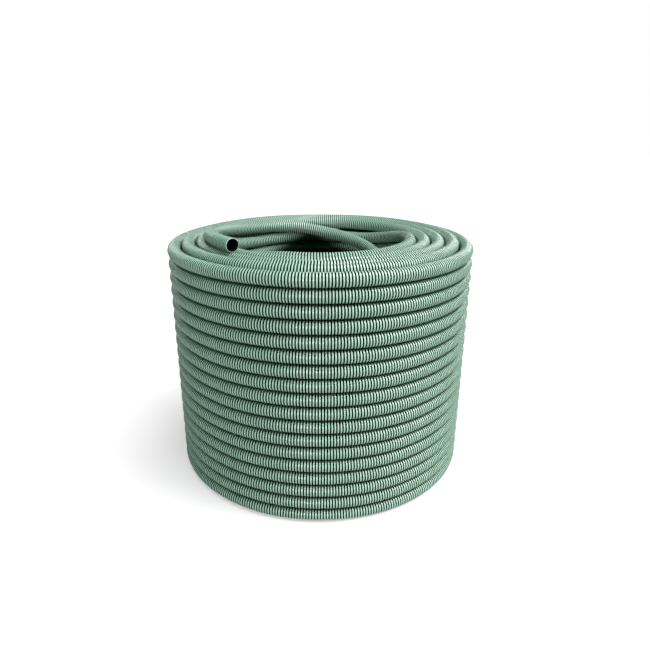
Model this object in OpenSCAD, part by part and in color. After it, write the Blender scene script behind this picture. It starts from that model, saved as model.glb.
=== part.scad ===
/* [Hose] */
// Outside diameter of the hose, over its ribs
hose_od = 20; // [14:0.5:24]
// Distance from one rib to the next
rib_pitch = 4; // [3:0.25:8]
// Width of a rib at its top
rib_land = 2.2; // [0.8:0.1:2.4]
// Length of the slope on each side of a rib
rib_slope = 0.3; // [0.1:0.05:0.5]
// Depth of the groove between two ribs
rib_depth = 1; // [0.4:0.1:1.5]
// Thickness of the ribbed wall at the bottom of a groove
groove_wall = 0.4; // [0.2:0.05:0.8]
// Thickness of the smooth lining inside the ribbed wall
liner_wall = 0.8; // [0.4:0.1:1.5]

/* [Coil] */
// Radius of the outer layer, to the middle of the hose
coil_radius = 231; // [200:1:300]
// Rows of hose, from the floor to the top
rows = 18; // [10:1:24]
// Layers of hose, from the outside to the eye
layers = 5; // [4:1:6]
// Air between two turns that lie one on the other
row_gap = 0.5; // [0.5:0.1:2]
// Air between two turns that lie side by side
layer_gap = 1.9; // [1.5:0.1:4]
// Air between two turns that lie one on the other down the eye, where they slope
eye_gap = 0.6; // [0.5:0.1:2]
// Height of the inner top turns above the outermost one
top_rise = 5; // [0:0.5:8]
// Air between the wound hose and the plain layers that it covers
core_gap = 0.3; // [0.2:0.1:2]

/* [Loose end] */
// Length of straight hose behind the open mouth
end_length = 40; // [24:4:60]
// Direction in which the mouth looks, turned from +X about the vertical
end_heading = -52; // [-60:1:-40]
// Ribs on the bent hose behind the straight end
loose_ribs = 48; // [20:1:60]
// Air round the hose where it goes in among the inner turns
socket_gap = 0.5; // [0.3:0.1:1.5]

// Air between the straight end and the bent hose behind it
splice_gap = 0.1; // [0.05:0.05:0.3]

/* [Hidden] */

hose_green = [0.50, 0.62, 0.54];
shade_green = [0.34, 0.45, 0.38];
liner_black = [0.04, 0.04, 0.04];
smooth_circle = 96;
core_circle = 180;

hose_r = hose_od / 2;
groove_r = hose_r - rib_depth;
liner_r = groove_r - groove_wall;
bore_r = liner_r - liner_wall;
row_pitch = hose_od + row_gap;
layer_pitch = hose_od + layer_gap;
bottom_z = hose_r;
top_z = bottom_z + (rows - 1) * row_pitch + top_rise;
inner_radius = coil_radius - (layers - 1) * layer_pitch;

// The wound hose turns clockwise, seen from above. Its length is counted in turns.
start_azimuth = 45;
turn_rings = 24;
turn_sides = 6;
inner_rows = 3;
wound_length = rows - 2 + layers + inner_rows - 0.6;
last_ring = floor(wound_length * turn_rings);

// Part of each turn in which the hose climbs a row or steps to the next layer
climb = [0.75, 1];
cross = [0.625, 0.75];
dip_in = [0.52, 0.74];
rise_back = [0.95, 1.12];
dive = [0.42, 0.69];

// The turns down the eye dive steeply, so they lie further apart
dive_length = (dive[1] - dive[0]) * 2 * PI * inner_radius;
steepest = atan(3 * hose_od / dive_length);
eye_pitch = hose_od / cos(steepest) + eye_gap;

function eased(u) = let(c = min(1, max(0, u))) c * c * (3 - 2 * c);
function step_over(span, t) = eased((t - span[0]) / (span[1] - span[0]));
function sum(v, i = 0) = i < len(v) ? v[i] + sum(v, i + 1) : 0;

// Height of the outer layer: flat rows, each with its climb at the back
function rows_climbed(t) = min(rows - 1, floor(t) + step_over(climb, t - floor(t)));

// Steps inwards over the top, from the outermost turn to the one at the eye
function layers_crossed(t) = let(u = t - (rows - 1))
    sum([for (k = [0 : layers - 3]) step_over(cross, u - k)]) + step_over(dip_in, u - (layers - 2));

// Rows lost in the eye, where each turn lies lower at the back than at the front
function rows_lost(t) = let(u = t - (rows - 1) - (layers - 2))
    step_over(dip_in, u)
    + sum([for (k = [0 : inner_rows - 1]) 2 * step_over(dive, u - 1 - k) - step_over(rise_back, u - k)]);

function wound_azimuth(t) = start_azimuth - 360 * t;
function wound_radius(t) = coil_radius - layer_pitch * layers_crossed(t);
function wound_z(t) = bottom_z + row_pitch * rows_climbed(t) - eye_pitch * rows_lost(t)
    + top_rise * step_over(cross, t - (rows - 1));
function wound_point(t) = let(a = wound_azimuth(t), r = wound_radius(t)) [r * cos(a), r * sin(a), wound_z(t)];
function wound_ring(t) = let(a = wound_azimuth(t), r = wound_radius(t), z = wound_z(t))
    [for (s = [0 : turn_sides - 1]) let(b = 360 * s / turn_sides, q = r + hose_r * cos(b))
        [q * cos(a), q * sin(a), z + hose_r * sin(b)]];

// Route of the loose hose, from the straight end down into the eye. Each point has its azimuth, the layers
// that it lies outside the innermost one, and the rows that it lies above the top turns.
route_places = [
    [-141.6, 1.84, 1],
    [-155.9, 1.61, 0.95],
    [-170.5, 1.18, 0.83],
    [173.9, 0.71, 0.59],
    [157.2, 0.29, 0.32],
    [138.7, -0.04, 0.17],
    [119.5, -0.25, 0.05],
    [100.6, -0.6, -0.2],
    [81, -1, -0.59],
    [59.8, -1.37, -0.93],
    [37.5, -1.6, -1.41],
    [14, -1.65, -1.95],
    [-9.9, -1.5, -2.49],
    [-31.5, -1.3, -3.02],
    [-52.9, -1.17, -3.56],
    [-74.3, -1.14, -4.1],
    [-95.9, -1.18, -4.63],
    [-117.4, -1.2, -5.12],
    [-139.9, -1.23, -5.51],
    [-165, -1.25, -5.76],
    [175.1, -0.91, -5.76],
    [159.2, 0, -5.76]
];
loose_sides = 8;
ribbed_spans = 4;
plain_rings_per_span = 2;
last_span = len(route_places) - 1;
function placed(p) = let(r = inner_radius + p[1] * layer_pitch)
    [r * cos(p[0]), r * sin(p[0]), p[2] * row_pitch];
route = [for (p = route_places) placed(p)];
end_direction = [cos(end_heading), sin(end_heading), 0];
end_start = route[0] + [0, 0, top_z];
mouth = end_start + end_length * end_direction;
end_ribs = floor(end_length / rib_pitch);

// The route runs on in a straight line past both of its ends
function route_point(i) =
    i < 0 ? route[0] - i * norm(route[1] - route[0]) * end_direction
    : i > last_span ? 2 * route[last_span] - route[last_span - 1]
    : route[i];

// Smooth curve through the route's points, at u points from its start
function route_at(u) = let(
    i = min(last_span - 1, floor(u)), f = u - i,
    a = route_point(i - 1), b = route_point(i), c = route_point(i + 1), d = route_point(i + 2))
    [0, 0, top_z] + b + f / 2 * ((c - a) + f * ((2 * a - 5 * b + 4 * c - d) + f * (3 * (b - c) + d - a)));
function heading_at(u) = let(h = 0.01, v = route_at(min(last_span, u + h)) - route_at(max(0, u - h))) v / norm(v);
function loose_ring(u, r) = let(
    p = u == 0 ? end_start - splice_gap * end_direction : route_at(u),
    h = u == 0 ? -end_direction : heading_at(u),
    side = [-h.y, h.x, 0] / norm([h.x, h.y]), up = cross(h, side))
    [for (s = [0 : loose_sides - 1]) let(b = 360 * (s + 0.5) / loose_sides) p + r * (cos(b) * side + sin(b) * up)];

loose_steps = concat(
    [for (k = [0 : 2 * loose_ribs]) [ribbed_spans * k / (2 * loose_ribs), k % 2 == 0 ? hose_r : groove_r]],
    [for (k = [1 : (last_span - ribbed_spans) * plain_rings_per_span]) [ribbed_spans + k / plain_rings_per_span, hose_r]]
);

// Closed tube of triangles through rings of points
module tube(rings) {
    sides = len(rings[0]);
    last = len(rings) - 1;
    points = [for (ring = rings) for (p = ring) p];
    wall = [for (i = [0 : last - 1]) for (s = [0 : sides - 1])
        let(a = i * sides + s, b = i * sides + (s + 1) % sides, c = a + sides, d = b + sides)
        each [[a, d, b], [a, c, d]]];
    caps = [for (s = [1 : sides - 2]) each [[0, s, s + 1], [last * sides, last * sides + s + 1, last * sides + s]]];
    polyhedron(points, concat(wall, caps));
}

// Distance from point p to the straight line between a and b
function span_distance(p, a, b) = let(v = b - a, f = min(1, max(0, (p - a) * v / (v * v)))) norm(p - a - f * v);

wound_points = [for (i = [0 : last_ring]) wound_point(i / turn_rings)];
wound_gap = min([for (i = [0 : last_ring]) for (j = [i + turn_rings / 2 : min(last_ring - 1, i + 2 * turn_rings)])
    span_distance(wound_points[i], wound_points[j], wound_points[j + 1])]) - hose_od;
loose_points = [for (s = loose_steps) route_at(s[0])];
loose_gap = min([for (p = loose_points) for (j = [floor((rows - 1) * turn_rings) : last_ring - 1])
    span_distance(p, wound_points[j], wound_points[j + 1])]) - hose_od;
echo(least_gap_between_wound_turns = wound_gap, least_gap_under_loose_hose = loose_gap);

// Ring-shaped body with plain walls
module plain_layers(inside, outside, height) {
    difference() {
        cylinder(r = outside, h = height, $fn = core_circle);
        translate([0, 0, -1]) cylinder(r = inside, h = height + 2, $fn = core_circle);
    }
}

core_outside = (coil_radius - hose_r) * cos(180 / turn_rings) - core_gap;
core_split = inner_radius + layer_pitch / 2;
core_inside = inner_radius - hose_r - core_gap;
flat_half = hose_r * cos(180 / turn_sides);
core_top = top_z - top_rise - flat_half - core_gap;
shelf_top = top_z - inner_rows * eye_pitch - flat_half - core_gap;

// Hidden layers between the outer turns and the eye
module packed_layers() {
    color(shade_green) plain_layers(core_split, core_outside, core_top);
}

// Innermost layer, with the place where the loose hose goes in among its turns
module inner_layer() {
    straight_from = route[last_span - 1] + [0, 0, top_z];
    straight_to = route[last_span] + [0, 0, top_z];
    run = straight_to - straight_from;
    length = norm(run);
    color(shade_green) difference() {
        plain_layers(core_inside, core_split, shelf_top);
        translate(straight_from) rotate([0, 90, atan2(run.y, run.x)])
            cylinder(r = hose_r + socket_gap, h = length, $fn = smooth_circle);
    }
}

// Outer layer, top turns and the first turns down the eye, as one unbroken hose
module wound_turns() {
    color(hose_green) tube([for (i = [0 : last_ring]) wound_ring(i / turn_rings)]);
}

// Puts a shape that stands on its end along the straight end of the hose
module along_end() {
    translate(end_start) rotate([0, 90, end_heading]) children();
}

// Bent hose from the straight end, over the top turns and down the eye
module loose_end() {
    color(hose_green) tube([for (s = loose_steps) loose_ring(s[0], s[1])]);
}

// Straight ribbed wall at the open mouth, each rib counted back from the mouth
module hose_end() {
    ribs = [for (k = [end_ribs - 1 : -1 : 0]) let(top = end_length - k * rib_pitch) each [
        [groove_r, top - rib_land - rib_slope],
        [hose_r, top - rib_land],
        [hose_r, top],
        [groove_r, top + rib_slope]
    ]];
    color(hose_green) along_end() intersection() {
        rotate_extrude($fn = smooth_circle)
            polygon(concat([[liner_r, 0], [groove_r, 0]], ribs, [[liner_r, end_length + rib_slope]]));
        cylinder(r = hose_od, h = end_length, $fn = smooth_circle);
    }
}

// Smooth lining of the straight end
module hose_liner() {
    color(liner_black) along_end() difference() {
        cylinder(r = liner_r, h = end_length, $fn = smooth_circle);
        translate([0, 0, -1]) cylinder(r = bore_r, h = end_length + 2, $fn = smooth_circle);
    }
}

packed_layers();
inner_layer();
wound_turns();
loose_end();
hose_end();
hose_liner();
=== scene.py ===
import bpy
import math
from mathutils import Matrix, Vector


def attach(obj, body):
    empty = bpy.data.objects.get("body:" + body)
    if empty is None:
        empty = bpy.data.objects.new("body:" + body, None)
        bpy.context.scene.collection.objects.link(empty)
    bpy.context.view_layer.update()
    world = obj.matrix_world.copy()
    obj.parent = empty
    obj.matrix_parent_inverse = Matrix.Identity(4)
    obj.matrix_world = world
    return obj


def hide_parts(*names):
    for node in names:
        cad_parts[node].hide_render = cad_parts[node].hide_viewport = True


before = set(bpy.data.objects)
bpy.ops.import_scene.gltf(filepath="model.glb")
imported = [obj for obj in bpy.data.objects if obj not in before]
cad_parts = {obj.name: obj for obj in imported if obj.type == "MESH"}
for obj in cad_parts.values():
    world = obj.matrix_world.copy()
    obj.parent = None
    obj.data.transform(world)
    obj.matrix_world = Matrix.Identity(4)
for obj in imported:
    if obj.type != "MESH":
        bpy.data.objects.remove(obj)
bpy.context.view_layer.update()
mm = 0.001
print("frame loaded")

# Camera
camera = {
    "place": (0.0, -0.8667, 0.5326),
    "aim": (0.0, 0.0, 0.2154),
    "lens": 29.72, "sensor": 36,
    "shiftX": 0.0071,  # the coil stands a little left of the middle
    "clip": (0.05, 30),
}


def setCamera():
    data = bpy.data.cameras.new("camera")
    data.lens = camera["lens"]
    data.sensor_width = camera["sensor"]
    data.shift_x = camera["shiftX"]
    data.clip_start, data.clip_end = camera["clip"]
    viewer = bpy.data.objects.new("camera", data)
    bpy.context.scene.collection.objects.link(viewer)
    viewer.location = camera["place"]
    look = Vector(camera["aim"]) - Vector(camera["place"])
    viewer.rotation_euler = look.to_track_quat("-Z", "Y").to_euler()
    bpy.context.scene.camera = viewer


setCamera()
print("camera set")

# Finishes
surface = {
    "mottleScale": 38, "mottleDetail": 4, "mottleSpan": (0.35, 0.75),
    "sheen": (-0.08, 0.12),  # how far the roughness strays with the mottle
    "grainScale": 900, "grainDetail": 2, "grainStrength": 0.05, "grainHeight": 0.0002,
}
green = {
    "top": (0.33, 0.51, 0.405), "topPale": (0.37, 0.55, 0.445),
    # painted shade: slope and groove are darker than the hose's green, for the shade in the ribs'
    # recesses
    "slope": (0.010, 0.090, 0.043), "groove": (0.0, 0.016, 0.006),
    "topRoughness": 0.36, "slopeRoughness": 0.5, "grooveRoughness": 0.6,
    "topGloss": 1, "eyeGloss": 0.06, "looseGloss": 0.65, "slopeGloss": 0.05, "grooveGloss": 0,
    "inShade": (0.0, 0.004, 0.0015),
    "wallShade": (0.345, 0.376),  # painted shade: the turns down the eye darken between these heights
    "shadeMiddle": -0.02, "shadeFall": 0.55,  # and less so to the left and right
    "looseShade": (0.25, 0.335),  # painted shade: the loose hose darkens between these
    "jointShade": (0.0, 0.014, 0.005), "jointSides": (0.72, 1),  # painted shade where rows touch
    "jointTop": 0.353,  # the row above this height gets no painted shade
}
# painted shade: black for the dark inside of the bore
black = {
    "lining": (0.003, 0.003, 0.003), "pale": (0.006, 0.006, 0.006),
    "roughness": 0.5, "gloss": 0.05,
}


def plastic(name, colour, pale, roughness, gloss):
    material = bpy.data.materials.new(name)
    material.use_nodes = True
    nodes, links = material.node_tree.nodes, material.node_tree.links
    shader = nodes["Principled BSDF"]
    shader.inputs["Specular IOR Level"].default_value = gloss
    place = nodes.new("ShaderNodeTexCoord")
    mottle = nodes.new("ShaderNodeTexNoise")
    mottle.inputs["Scale"].default_value = surface["mottleScale"]
    mottle.inputs["Detail"].default_value = surface["mottleDetail"]
    ramp = nodes.new("ShaderNodeValToRGB")
    stops = zip(ramp.color_ramp.elements, surface["mottleSpan"], (colour, pale))
    for stop, position, shade in stops:
        stop.position = position
        stop.color = (*shade, 1)
    grain = nodes.new("ShaderNodeTexNoise")
    grain.inputs["Scale"].default_value = surface["grainScale"]
    grain.inputs["Detail"].default_value = surface["grainDetail"]
    sheen = nodes.new("ShaderNodeMapRange")
    sheen.inputs["To Min"].default_value = roughness + surface["sheen"][0]
    sheen.inputs["To Max"].default_value = roughness + surface["sheen"][1]
    bump = nodes.new("ShaderNodeBump")
    bump.inputs["Strength"].default_value = surface["grainStrength"]
    bump.inputs["Distance"].default_value = surface["grainHeight"]
    links.new(place.outputs["Object"], mottle.inputs["Vector"])
    links.new(place.outputs["Object"], grain.inputs["Vector"])
    links.new(mottle.outputs["Fac"], ramp.inputs["Fac"])
    links.new(ramp.outputs["Color"], shader.inputs["Base Color"])
    links.new(mottle.outputs["Fac"], sheen.inputs["Value"])
    links.new(sheen.outputs["Result"], shader.inputs["Roughness"])
    links.new(grain.outputs["Fac"], bump.inputs["Height"])
    links.new(bump.outputs["Normal"], shader.inputs["Normal"])
    return material


def ribPlastic(name, gloss):
    return plastic(name, green["top"], green["topPale"], green["topRoughness"], gloss)


def paintShadeBelow(material, colour, heights, fall):
    # Paints shade into the colour below the given heights; "fall" lets the shade start lower
    # towards the left and right
    nodes, links = material.node_tree.nodes, material.node_tree.links
    colourInput = nodes["Principled BSDF"].inputs["Base Color"]
    place = nodes.new("ShaderNodeTexCoord")
    split = nodes.new("ShaderNodeSeparateXYZ")
    aside = nodes.new("ShaderNodeMath")
    aside.operation = "SUBTRACT"
    aside.inputs[1].default_value = green["shadeMiddle"]
    distance = nodes.new("ShaderNodeMath")
    distance.operation = "ABSOLUTE"
    height = nodes.new("ShaderNodeMath")
    height.operation = "MULTIPLY_ADD"
    height.inputs[1].default_value = fall
    depth = nodes.new("ShaderNodeMapRange")
    depth.interpolation_type = "SMOOTHSTEP"
    depth.inputs["From Min"].default_value = heights[0]
    depth.inputs["From Max"].default_value = heights[1]
    blend = nodes.new("ShaderNodeMix")
    blend.data_type = "RGBA"
    blend.inputs["A"].default_value = (*colour, 1)
    links.new(colourInput.links[0].from_socket, blend.inputs["B"])
    links.new(place.outputs["Object"], split.inputs["Vector"])
    links.new(split.outputs["X"], aside.inputs[0])
    links.new(aside.outputs["Value"], distance.inputs[0])
    links.new(distance.outputs["Value"], height.inputs[0])
    links.new(split.outputs["Z"], height.inputs[2])
    links.new(height.outputs["Value"], depth.inputs["Value"])
    links.new(depth.outputs["Result"], blend.inputs["Factor"])
    links.new(blend.outputs["Result"], colourInput)


def paintJointShade(material, colour):
    # Painted shade where the rows touch. Ribs carry "side": 0 half way up the hose, 1 where the
    # next rows touch it
    nodes, links = material.node_tree.nodes, material.node_tree.links
    colourInput = nodes["Principled BSDF"].inputs["Base Color"]
    side = nodes.new("ShaderNodeAttribute")
    side.attribute_name = "side"
    touch = nodes.new("ShaderNodeMapRange")
    touch.interpolation_type = "SMOOTHSTEP"
    touch.inputs["From Min"].default_value = green["jointSides"][0]
    touch.inputs["From Max"].default_value = green["jointSides"][1]
    place = nodes.new("ShaderNodeTexCoord")
    split = nodes.new("ShaderNodeSeparateXYZ")
    below = nodes.new("ShaderNodeMath")
    below.operation = "LESS_THAN"
    below.inputs[1].default_value = green["jointTop"]
    share = nodes.new("ShaderNodeMath")
    share.operation = "MULTIPLY"
    blend = nodes.new("ShaderNodeMix")
    blend.data_type = "RGBA"
    blend.inputs["B"].default_value = (*colour, 1)
    links.new(colourInput.links[0].from_socket, blend.inputs["A"])
    links.new(side.outputs["Fac"], touch.inputs["Value"])
    links.new(place.outputs["Object"], split.inputs["Vector"])
    links.new(split.outputs["Z"], below.inputs[0])
    links.new(touch.outputs["Result"], share.inputs[0])
    links.new(below.outputs["Value"], share.inputs[1])
    links.new(share.outputs["Value"], blend.inputs["Factor"])
    links.new(blend.outputs["Result"], colourInput)


greenTop = ribPlastic("greenRib", green["topGloss"])
greenRow = ribPlastic("greenRow", green["topGloss"])
# painted shade where the rows touch
paintJointShade(greenRow, green["jointShade"])
# painted shade in the ribs' slopes and grooves
slopeShadeGreen = plastic("slopeShadeGreen", green["slope"], green["slope"],
                     green["slopeRoughness"], green["slopeGloss"])
paintedShadeGreen = plastic("paintedShadeGreen", green["groove"], green["groove"],
                      green["grooveRoughness"], green["grooveGloss"])
boreShadeBlack = plastic("boreShadeBlack", black["lining"], black["pale"],
                      black["roughness"], black["gloss"])
# painted shade on the turns down the eye and on the loose hose going down it
greenInEye = ribPlastic("greenInEye", green["eyeGloss"])
paintShadeBelow(greenInEye, green["inShade"], green["wallShade"], green["shadeFall"])
greenLoose = ribPlastic("greenLoose", green["looseGloss"])
paintShadeBelow(greenLoose, green["inShade"], green["looseShade"], 0)
print("finishes made")

# The hose's route, as in the CAD part: millimetres, with the place along it counted in turns
coil = {
    "radius": 231, "rows": 18, "layers": 5,
    "rowPitch": 20.5, "eyePitch": 21.2, "layerPitch": 21.9,
    "bottom": 10, "top": 363.5, "topRise": 5, "startAzimuth": 45,
    # parts of a turn in which the hose climbs a row, steps inwards or goes down the eye
    "climb": (0.75, 1), "cross": (0.625, 0.75), "dipIn": (0.52, 0.74),
    "riseBack": (0.95, 1.12), "dive": (0.42, 0.69), "dives": 4,
    "tuck": (24.42, 24.66), "tuckOutwards": 22,  # the end goes out of sight behind the turns
    "pointsPerTurn": 96,
}


def eased(u):
    c = min(1, max(0, u))
    return c * c * (3 - 2 * c)


def stepOver(span, t):
    return eased((t - span[0]) / (span[1] - span[0]))


def turnPoint(t, radius, z):
    azimuth = math.radians(coil["startAzimuth"] - 360 * t)
    return Vector((radius * math.cos(azimuth), radius * math.sin(azimuth), z)) * mm


def rowsClimbed(t):
    return min(coil["rows"] - 1, math.floor(t) + stepOver(coil["climb"], t - math.floor(t)))


def layersCrossed(t):
    u = t - (coil["rows"] - 1)
    steps = sum(stepOver(coil["cross"], u - k) for k in range(coil["layers"] - 2))
    return steps + stepOver(coil["dipIn"], u - (coil["layers"] - 2))


def rowsLost(t):
    u = t - (coil["rows"] - 1) - (coil["layers"] - 2)
    return stepOver(coil["dipIn"], u) + sum(
        2 * stepOver(coil["dive"], u - 1 - k) - stepOver(coil["riseBack"], u - k)
        for k in range(coil["dives"]))


wall = {
    "joins": -15.317,  # where the loose hose comes in among the turns of the eye
    "start": -16, "turns": 12, "height": 245.5, "firstRise": 33.2, "lastRise": -2.3,
    "rise": (0.75, 1.12),
    "outwards": 0.53, "settles": 45, "settled": -12,  # it leans outwards where it joins
    "foot": -3, "stepOut": (-0.15, 0.10), "ends": 0.2,  # along the floor to the first row
}


def wallHeight(t):  # down the eye, from where the loose hose joins to the floor
    f = t - wall["start"]
    z = wall["height"]
    for k in range(wall["turns"]):
        rise = wall["firstRise"] + (wall["lastRise"] - wall["firstRise"]) * k / (wall["turns"] - 1)
        z += rise * stepOver([k + edge for edge in wall["rise"]], f)
        if k < wall["turns"] - 1:
            z -= (rise + coil["eyePitch"]) * stepOver([1 + k + edge for edge in coil["dive"]], f)
    return z


def innerPoint(t):  # down the eye and out along the floor
    steps = sum(1 - stepOver([edge - k for edge in wall["stepOut"]], t)
                for k in range(coil["layers"] - 1))
    radius = coil["radius"] - coil["layerPitch"] * steps
    z = wallHeight(t) if t < wall["foot"] else coil["bottom"]
    run = (t - wall["joins"]) * 2 * math.pi * radius
    if t < wall["settled"]:
        radius += wall["outwards"] * run * math.exp(-run / wall["settles"])
    return turnPoint(t, radius, z)


def outerPoint(t):  # up the outer rows, over the top and down into the eye
    radius = coil["radius"] - coil["layerPitch"] * layersCrossed(t)
    z = (coil["bottom"] + coil["rowPitch"] * rowsClimbed(t) - coil["eyePitch"] * rowsLost(t)
         + coil["topRise"] * stepOver(coil["cross"], t - (coil["rows"] - 1)))
    radius += coil["tuckOutwards"] * stepOver(coil["tuck"], t)
    return turnPoint(t, radius, z)


def hoseTurns(start, end):
    count = math.ceil((end - start) * coil["pointsPerTurn"])
    places = [start + (end - start) * i / count for i in range(count + 1)]
    return [innerPoint(t) if t < wall["ends"] else outerPoint(t) for t in places]


loose = {
    "route": [  # azimuth, layers outside the innermost one, rows above the top turns
        (-141.6, 1.84, 1), (-155.9, 1.61, 0.95), (-170.5, 1.18, 0.83), (173.9, 0.71, 0.59),
        (157.2, 0.29, 0.32), (138.7, -0.04, 0.17), (119.5, -0.25, 0.05), (100.6, -0.6, -0.2),
        (81, -1, -0.59), (59.8, -1.37, -0.93), (37.5, -1.6, -1.41), (14, -1.65, -1.95),
        (-9.9, -1.5, -2.49), (-31.5, -1.3, -3.02), (-52.9, -1.17, -3.56), (-74.3, -1.14, -4.1),
        (-95.9, -1.18, -4.63), (-117.4, -1.2, -5.12), (-139.9, -1.23, -5.51),
        (-165, -1.25, -5.76), (175.1, -0.91, -5.76), (159.2, 0, -5.76)],
    "endLength": 40, "endHeading": -52,
    "pointsPerSpan": 12, "pointsInEnd": 10,
}


def loosePoint(azimuth, layers, rows):
    radius = coil["radius"] + coil["layerPitch"] * (layers + 1 - coil["layers"])
    turned = math.radians(azimuth)
    z = coil["top"] + rows * coil["rowPitch"]
    return Vector((radius * math.cos(turned), radius * math.sin(turned), z))


def looseLine():  # the straight end, then a smooth curve through the route's points
    heading = math.radians(loose["endHeading"])
    outwards = Vector((math.cos(heading), math.sin(heading), 0))
    knots = [loosePoint(*place) for place in loose["route"]]
    before = knots[0] + (knots[1] - knots[0]).length * outwards
    after = 2 * knots[-1] - knots[-2]
    chain = [before, *knots, after]
    line = [knots[0] + outwards * loose["endLength"] * (1 - i / loose["pointsInEnd"])
            for i in range(loose["pointsInEnd"])]
    for a, b, c, d in zip(chain, chain[1:], chain[2:], chain[3:]):
        for i in range(loose["pointsPerSpan"]):
            f = i / loose["pointsPerSpan"]
            line.append(b + f / 2 * ((c - a) + f * ((2 * a - 5 * b + 4 * c - d)
                                                    + f * (3 * (b - c) + d - a))))
    line.append(knots[-1])
    return [p * mm for p in line], outwards


def lineLength(line):
    return sum((b - a).length for a, b in zip(line, line[1:]))


# Ribs
hose = {
    "radius": 10, "ribPitch": 4,
    "ribProfile": [(0, 10), (1.9, 10), (2.1, 8.8), (3.8, 8.8), (4, 10)],  # along the hose, radius
    "rowSides": 12, "wallSides": 10, "topSides": 16,
    "rimRadius": 9.3, "wallRadius": 8.6, "boreRadius": 7.8,
    "mergeWithin": 0.02, "smoothBelow": 40,
}
ribPitch = hose["ribPitch"]


def deselectAll():
    if bpy.context.object and bpy.context.object.mode == "EDIT":
        bpy.ops.object.mode_set(mode="OBJECT")
    bpy.ops.object.select_all(action="DESELECT")


def makeActive(piece):
    deselectAll()
    piece.select_set(True)
    bpy.context.view_layer.objects.active = piece


def selectVertices(piece, wanted):
    bpy.ops.object.mode_set(mode="EDIT")
    bpy.ops.mesh.select_mode(type="VERT")
    bpy.ops.mesh.select_all(action="DESELECT")
    bpy.ops.object.mode_set(mode="OBJECT")
    for vertex in piece.data.vertices:
        vertex.select = wanted(vertex.co)
    bpy.ops.object.mode_set(mode="EDIT")


def modelRib(name, profile, sides, materials):
    # Materials: the rib's top, then its slopes and the groove where these differ
    deselectAll()
    length, radius = profile[1][0] * mm, profile[0][1] * mm
    bpy.ops.mesh.primitive_cylinder_add(
        vertices=sides, radius=radius, depth=length, end_fill_type="NOTHING",
        location=(length / 2, 0, 0), rotation=(0, math.pi / 2, 0))
    rib = bpy.context.object
    rib.name = name
    bpy.ops.object.transform_apply(location=True, rotation=True, scale=True)
    selectVertices(rib, lambda co: co.x > length / 2)
    for (x, r), (nextX, nextR) in zip(profile[1:], profile[2:]):
        step = ((nextX - x) * mm, 0, 0)
        scale = nextR / r
        bpy.ops.mesh.extrude_region_move(TRANSFORM_OT_translate={"value": step})
        bpy.ops.transform.resize(value=(1, scale, scale), center_override=(nextX * mm, 0, 0))
    bpy.ops.mesh.select_all(action="SELECT")
    bpy.ops.mesh.normals_make_consistent(inside=False)
    bpy.ops.object.mode_set(mode="OBJECT")
    for material in materials:
        rib.data.materials.append(material)
    side = rib.data.attributes.new("side", "FLOAT", "POINT")
    for vertex, value in zip(rib.data.vertices, side.data):
        value.value = abs(vertex.co.z) / vertex.co.yz.length
    lowest = min(r for x, r in profile) * mm
    for face in rib.data.polygons:
        if len(materials) > 1 and face.center.x > length:
            face.material_index = 2 if face.center.yz.length < lowest else 1
    return rib


def modelPlain(name, radius, length, sides, material):
    return modelRib(name, [(0, radius), (length, radius)], sides, [material])


def layHose(name, line, rib, pitch, fillEnds=True):
    # The rib is repeated along the X axis and bent along the line
    data = bpy.data.curves.new(name + "Line", "CURVE")
    data.dimensions = "3D"
    data.twist_mode = "Z_UP"
    data.use_stretch = True
    data.use_deform_bounds = True
    spline = data.splines.new("POLY")
    spline.points.add(len(line) - 1)
    for knot, place in zip(spline.points, line):
        knot.co = (*place, 1)
    guide = bpy.data.objects.new(name + "Line", data)
    bpy.context.scene.collection.objects.link(guide)
    piece = bpy.data.objects.new(name, rib.data.copy())
    bpy.context.scene.collection.objects.link(piece)
    makeActive(piece)
    array = piece.modifiers.new("ribs", "ARRAY")
    array.count = max(1, round(lineLength(line) / (pitch * mm)))
    array.use_relative_offset = False
    array.use_constant_offset = True
    array.constant_offset_displace = (pitch * mm, 0, 0)
    array.use_merge_vertices = True
    array.merge_threshold = hose["mergeWithin"] * mm
    bend = piece.modifiers.new("lay", "CURVE")
    bend.object = guide
    bend.deform_axis = "POS_X"
    bpy.ops.object.modifier_apply(modifier="ribs")
    bpy.ops.object.modifier_apply(modifier="lay")
    bpy.data.objects.remove(guide)
    if fillEnds:
        bpy.ops.object.mode_set(mode="EDIT")
        bpy.ops.mesh.select_all(action="SELECT")
        bpy.ops.mesh.fill_holes(sides=0)
        bpy.ops.mesh.select_all(action="SELECT")
        bpy.ops.mesh.normals_make_consistent(inside=False)
        bpy.ops.object.mode_set(mode="OBJECT")
    bpy.ops.object.shade_smooth_by_angle(angle=math.radians(hose["smoothBelow"]))
    return piece


def declareHose(piece):
    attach(piece, "root")


# slopes and grooves take the painted shade colours
ribFinishes = [greenTop, slopeShadeGreen, paintedShadeGreen]
rowFinishes = [greenRow, slopeShadeGreen, paintedShadeGreen]
eyeFinishes = [greenInEye, paintedShadeGreen, paintedShadeGreen]
looseFinishes = [greenLoose, slopeShadeGreen, paintedShadeGreen, boreShadeBlack]
rowRib = modelRib("rowRib", hose["ribProfile"], hose["rowSides"], rowFinishes)
wallRib = modelRib("wallRib", hose["ribProfile"], hose["wallSides"], eyeFinishes)
eyeRib = modelRib("eyeRib", hose["ribProfile"], hose["topSides"], eyeFinishes)
topRib = modelRib("topRib", hose["ribProfile"], hose["topSides"], ribFinishes)
looseRib = modelRib("looseRib", hose["ribProfile"], hose["topSides"], looseFinishes)
print("ribs modelled")

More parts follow.
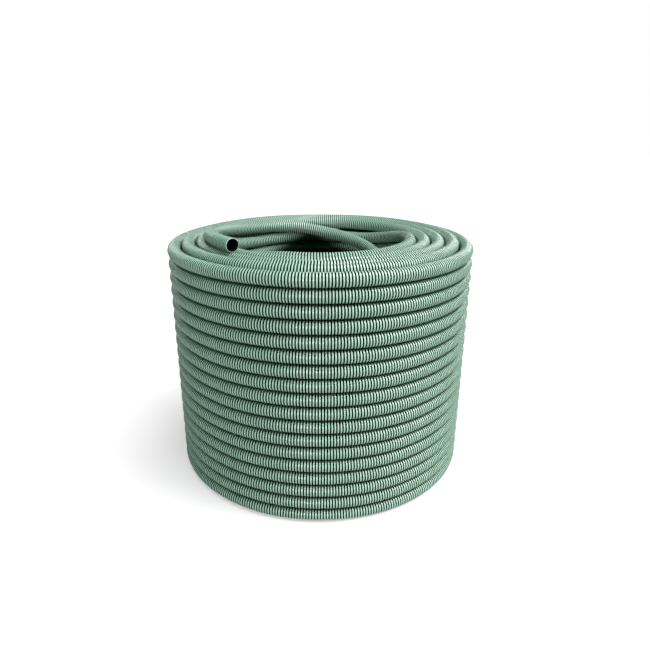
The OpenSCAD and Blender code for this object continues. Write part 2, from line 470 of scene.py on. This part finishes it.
# Rows, top turns and the turns of the eye
stretches = {  # start, end, rib
    "floorTurns": (-3.15, 0, wallRib),
    "outerRowsA": (0, 3, rowRib),
    "outerRowsB": (3, 6, rowRib),
    "outerRowsC": (6, 9, rowRib),
    "outerRowsD": (9, 12, rowRib),
    "outerRowsE": (12, 15, rowRib),
    "outerRowsF": (15, 17.65, rowRib),
    "topTurns": (17.65, 20.5, topRib),
    "eyeTurns": (20.5, coil["tuck"][1], eyeRib),
    "wallTurnsA": (wall["joins"], -9, wallRib),
    "wallTurnsB": (-9, -3.15, wallRib),
}
laid = {}
for name, (start, end, rib) in stretches.items():
    line = hoseTurns(start, end)
    laid[name] = layHose(name, line, rib, ribPitch)
    declareHose(laid[name])
    print(name, "laid,", round(lineLength(line), 2), "m,", len(laid[name].data.polygons), "faces")
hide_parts("wound_turns")
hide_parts("inner_layer")

# Hidden layers
packed = {
    "radii": (209.1, 187.2, 165.3), "rows": 16, "pitch": 20.794,
    "segment": 24, "sides": 8, "pointsPerTurn": 48,
    "topGap": 0.05,  # the turn that shows at the top stops this part of a turn short
}


def packedLine(radius, start, end):
    count = math.ceil((end - start) * packed["pointsPerTurn"])
    line = []
    for i in range(count + 1):
        t = start + (end - start) * i / count
        row = 1 + math.floor(t) + stepOver(coil["climb"], t - math.floor(t))
        line.append(turnPoint(t, radius, coil["bottom"] + packed["pitch"] * row))
    return line


# the hidden layers are painted in the dark shade green
segment = modelPlain("segment", hose["radius"], packed["segment"], packed["sides"], paintedShadeGreen)
for letter, radius in zip("ABC", packed["radii"]):
    line = packedLine(radius, 0, packed["rows"] - 1)
    piece = layHose("packedLayer" + letter, line, segment, packed["segment"])
    declareHose(piece)
    laid[piece.name] = piece
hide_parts("packed_layers")
line = packedLine(packed["radii"][0], packed["rows"] - 1, packed["rows"] - packed["topGap"])
declareHose(layHose("packedTop", line, topRib, ribPitch))
print("hidden layers laid")

# Loose end: a ribbed wall with a bore, and a black sleeve in the bore as painted shade
mouthRing = {"within": (9, 11), "depth": 0.2}  # radius and depth in which an end's edge is found

line, outwards = looseLine()
looseHose = layHose("looseHose", line, looseRib, ribPitch, fillEnds=False)
# the bore's wall is painted in the dark shade green
boreSegment = modelPlain("boreSegment", hose["wallRadius"], ribPitch, hose["topSides"], paintedShadeGreen)
layHose("looseBore", line, boreSegment, ribPitch, fillEnds=False)
bpy.ops.object.mode_set(mode="EDIT")
bpy.ops.mesh.select_all(action="SELECT")
bpy.ops.mesh.flip_normals()
bpy.ops.object.mode_set(mode="OBJECT")
looseHose.select_set(True)  # the bore is still selected
bpy.context.view_layer.objects.active = looseHose
bpy.ops.object.join()
nearest, furthest = (radius * mm for radius in mouthRing["within"])
for end, along in ((line[0], outwards), (line[-1], (line[-1] - line[-2]).normalized())):
    selectVertices(looseHose, lambda co: nearest < (co - end).length < furthest
                   and abs((co - end) @ along) < mouthRing["depth"] * mm)
    for outer, inner in (("radius", "rimRadius"), ("rimRadius", "wallRadius")):
        bpy.ops.mesh.extrude_region_move()
        bpy.ops.transform.resize(value=(hose[inner] / hose[outer],) * 3, center_override=end)
bpy.ops.mesh.select_all(action="SELECT")
bpy.ops.mesh.remove_doubles(threshold=hose["mergeWithin"] * mm)
bpy.ops.mesh.normals_make_consistent(inside=False)
bpy.ops.object.mode_set(mode="OBJECT")
for face in looseHose.data.polygons:  # the inner ring of each end is painted black as the bore's shade
    if min((face.center - end).length for end in (line[0], line[-1])) < hose["rimRadius"] * mm:
        face.material_index = looseFinishes.index(boreShadeBlack)
# a black sleeve inside the bore, painted shade
liningSegment = modelPlain("liningSegment", hose["boreRadius"], ribPitch, hose["topSides"],
                           boreShadeBlack)
lining = layHose("hoseBoreShade", line, liningSegment, ribPitch, fillEnds=False)
thicken = lining.modifiers.new("wall", "SOLIDIFY")
thicken.thickness = (hose["wallRadius"] - hose["boreRadius"]) * mm
thicken.offset = 1
bpy.ops.object.modifier_apply(modifier="wall")
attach(lining, "root")
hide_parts("hose_liner")
declareHose(looseHose)
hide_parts("loose_end", "hose_end")
print("loose end laid,", round(lineLength(line), 2), "m")

for spare in (rowRib, wallRib, eyeRib, topRib, looseRib, segment, boreSegment, liningSegment):
    bpy.data.objects.remove(spare)

# Floor, sky and lamps
studio = {
    "floorSize": 14, "floorPlace": (0, 3, 0),
    "floorColour": (0.5, 0.5, 0.5, 1), "floorRoughness": 0.9, "floorGloss": 0.1,
    "floorLift": 0.47,  # added to the floor for the camera alone
    "white": (1, 1, 1, 1),
    "skyLight": 0.02, "skyShine": 0.3,  # on the hose, and in its gloss
    "lampDistance": 3,
}
lamps = {
    "overhead": {"from": (0.24, -0.1, 0.96), "angle": 36, "strength": 3.15},
    "key": {"from": (0.75, -0.12, 0.66), "angle": 40, "strength": 2.2},
    "glint": {"from": (0.5, -0.82, 0.27), "angle": 18, "strength": 0.45},
    "front": {"from": (-0.16, -0.96, 0.19), "angle": 12, "strength": 1.38},
    "backRight": {"from": (0.45, 0.85, 0.27), "angle": 30, "strength": 0.9},
    "backLeft": {"from": (-0.45, 0.85, 0.27), "angle": 30, "strength": 0.5},
}


def setFloor():
    deselectAll()
    bpy.ops.mesh.primitive_plane_add(size=studio["floorSize"], location=studio["floorPlace"])
    floor = bpy.context.object
    floor.name = "floor"
    material = bpy.data.materials.new("paleFloor")
    material.use_nodes = True
    nodes, links = material.node_tree.nodes, material.node_tree.links
    shader = nodes["Principled BSDF"]
    shader.inputs["Base Color"].default_value = studio["floorColour"]
    shader.inputs["Roughness"].default_value = studio["floorRoughness"]
    shader.inputs["Specular IOR Level"].default_value = studio["floorGloss"]
    shader.inputs["Emission Color"].default_value = studio["white"]
    rays = nodes.new("ShaderNodeLightPath")
    lift = nodes.new("ShaderNodeMath")
    lift.operation = "MULTIPLY"
    lift.inputs[1].default_value = studio["floorLift"]
    links.new(rays.outputs["Is Camera Ray"], lift.inputs[0])
    links.new(lift.outputs["Value"], shader.inputs["Emission Strength"])
    floor.data.materials.append(material)


def setSky():
    world = bpy.data.worlds.new("studio")
    bpy.context.scene.world = world
    world.use_nodes = True
    nodes, links = world.node_tree.nodes, world.node_tree.links
    sky = nodes["Background"]
    sky.inputs["Color"].default_value = studio["white"]
    rays = nodes.new("ShaderNodeLightPath")
    strength = nodes.new("ShaderNodeMapRange")
    strength.inputs["To Min"].default_value = studio["skyLight"]
    strength.inputs["To Max"].default_value = 1
    shine = nodes.new("ShaderNodeMath")
    shine.operation = "MULTIPLY"
    shine.inputs[1].default_value = studio["skyShine"]
    brighter = nodes.new("ShaderNodeMath")
    brighter.operation = "MAXIMUM"
    links.new(rays.outputs["Is Camera Ray"], strength.inputs["Value"])
    links.new(rays.outputs["Is Glossy Ray"], shine.inputs[0])
    links.new(strength.outputs["Result"], brighter.inputs[0])
    links.new(shine.outputs["Value"], brighter.inputs[1])
    links.new(brighter.outputs["Value"], sky.inputs["Strength"])


def setLamp(name, facts):
    data = bpy.data.lights.new(name, "SUN")
    data.angle = math.radians(facts["angle"])
    data.energy = facts["strength"]
    lamp = bpy.data.objects.new(name, data)
    bpy.context.scene.collection.objects.link(lamp)
    lamp.location = studio["lampDistance"] * Vector(facts["from"])
    lamp.rotation_euler = (-Vector(facts["from"])).to_track_quat("-Z", "Y").to_euler()


setFloor()
setSky()
for name, facts in lamps.items():
    setLamp(name, facts)
bpy.context.scene.view_settings.view_transform = "Standard"
print("floor and light set")
